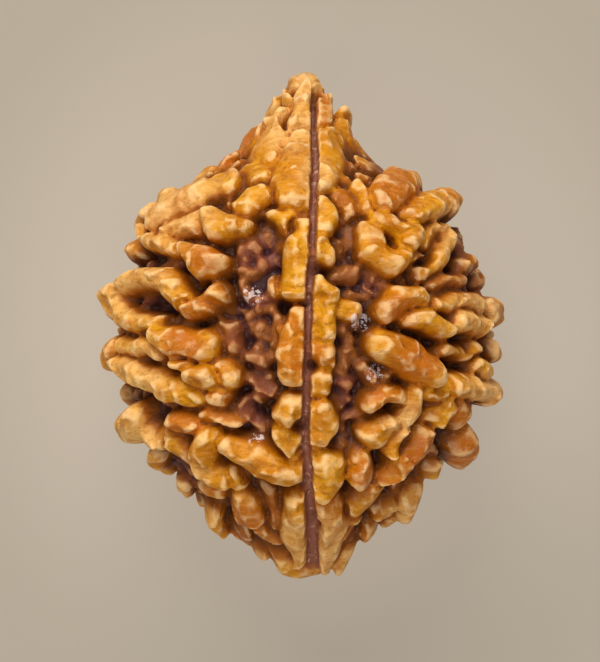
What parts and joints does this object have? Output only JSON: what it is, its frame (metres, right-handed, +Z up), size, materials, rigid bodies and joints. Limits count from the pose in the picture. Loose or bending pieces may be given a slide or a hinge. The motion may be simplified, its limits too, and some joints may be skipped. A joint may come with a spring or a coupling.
{
  "type": "rudraksha bead",
  "caption": "Woody fruit-stone bead, lemon-shaped and slightly flat, covered in blunt knobbly lobes, with a seam down each of its two faces and a string hole from tip to tip.",
  "frame": {"origin": "middle of the bead's box, at the level of the surface it lies on", "axes": "+Y along the bead from its foot to its stem end, +X across its width, +Z up, from one furrowed face to the other"},
  "size_m": [0.0194, 0.024, 0.0147],
  "materials": {
    "stone": "oiled, glossy amber brown with dark crevices"
  },
  "bodies": {
    "root": {"bead": "stone"}
  },
  "joints": []
}
